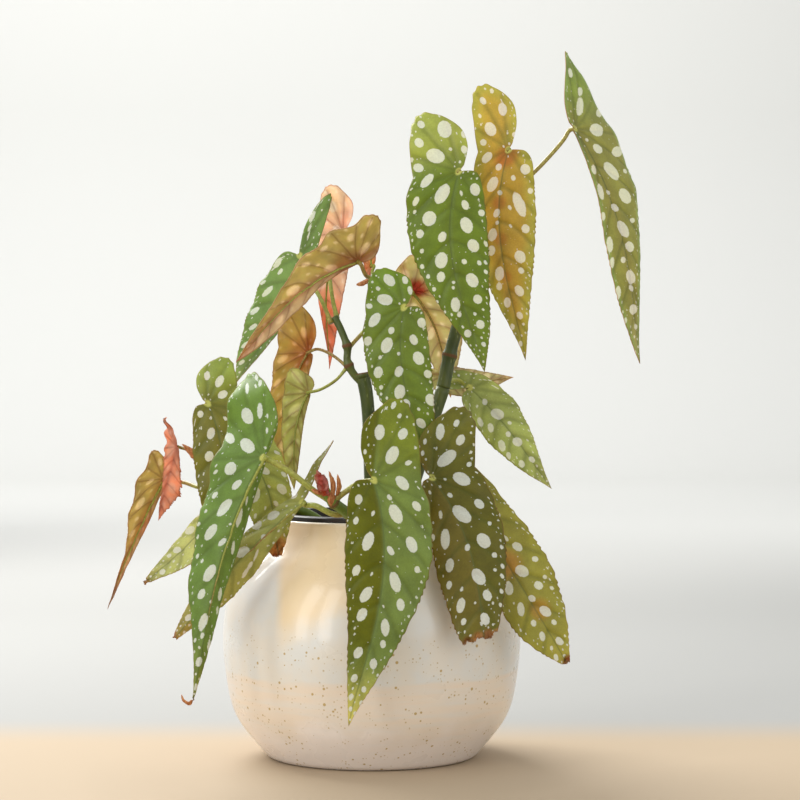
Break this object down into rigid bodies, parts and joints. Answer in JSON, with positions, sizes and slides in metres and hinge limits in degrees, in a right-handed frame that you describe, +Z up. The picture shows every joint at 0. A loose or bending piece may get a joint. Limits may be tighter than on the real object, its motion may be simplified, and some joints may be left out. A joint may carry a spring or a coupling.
{
  "type": "potted plant",
  "caption": "Potted polka dot begonia: spotted angel-wing leaves on green canes, in a nursery pot inside a round glazed ceramic pot.",
  "frame": {"origin": "centre of the ceramic pot's foot, on the surface it stands on", "axes": "+Z up; the side seen in the picture faces -Y, and +X is to its right"},
  "size_m": [0.3374, 0.2059, 0.4379],
  "materials": {
    "glaze": "gloss",
    "black_plastic": "satin",
    "soil": "matte",
    "cane": "satin",
    "leaf_green": "satin",
    "leaf_olive": "satin",
    "leaf_tan": "satin",
    "leaf_pink": "satin",
    "leaf_withered": "matte"
  },
  "bodies": {
    "root": {"cane_left": "cane", "cane_middle": "cane", "cane_right": "cane", "shoot_front": "cane", "shoot_left": "cane", "ceramic_pot": "glaze", "nursery_pot": "black_plastic", "soil": "soil", "leaf_crown_left": "leaf_green", "leaf_crown_middle": "leaf_olive", "leaf_crown_right": "leaf_green", "leaf_centre": "leaf_green", "leaf_centre_back": "leaf_tan", "leaf_right_back": "leaf_tan", "leaf_right_middle": "leaf_green", "leaf_front": "leaf_green", "leaf_front_right": "leaf_green", "leaf_low_right": "leaf_olive", "leaf_front_left": "leaf_green", "leaf_left_folded": "leaf_green", "leaf_left_inner": "leaf_olive", "leaf_left_upper": "leaf_olive", "leaf_left_low": "leaf_olive", "leaf_left_outer": "leaf_tan", "leaf_young_pink": "leaf_pink", "leaf_shoot_back": "leaf_green", "leaf_shoot_tan": "leaf_tan", "leaf_shoot_pale": "leaf_tan", "leaf_shoot_small": "leaf_pink", "leaf_middle_rust": "leaf_tan", "leaf_middle_tan": "leaf_tan", "leaf_young_withered": "leaf_withered"}
  },
  "joints": []
}
